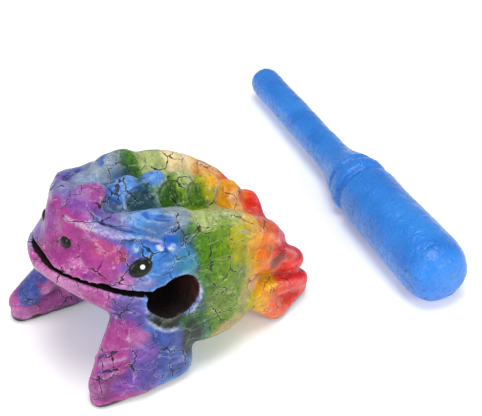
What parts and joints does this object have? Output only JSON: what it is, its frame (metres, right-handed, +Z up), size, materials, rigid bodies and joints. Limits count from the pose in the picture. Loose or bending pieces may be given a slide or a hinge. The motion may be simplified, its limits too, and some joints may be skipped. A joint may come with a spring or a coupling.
{
  "type": "frog guiro",
  "caption": "Carved wooden frog with a toothed spine, a mouth slot and a hole from side to side, with the turned stick that is drawn over its teeth.",
  "frame": {"origin": "on the surface that the set stands on, under the middle of the outline of frog and stick together", "axes": "+Z up, the frog faces -Y with its left side towards +X, and the stick lies behind it, its thin end towards -X"},
  "size_m": [0.1778, 0.184, 0.0752],
  "materials": {
    "crackled_rainbow_paint": "gloss",
    "blue_brushed_paint": "satin"
  },
  "bodies": {
    "root": {"frog_body": "crackled_rainbow_paint", "striker_stick": "blue_brushed_paint"}
  },
  "joints": []
}
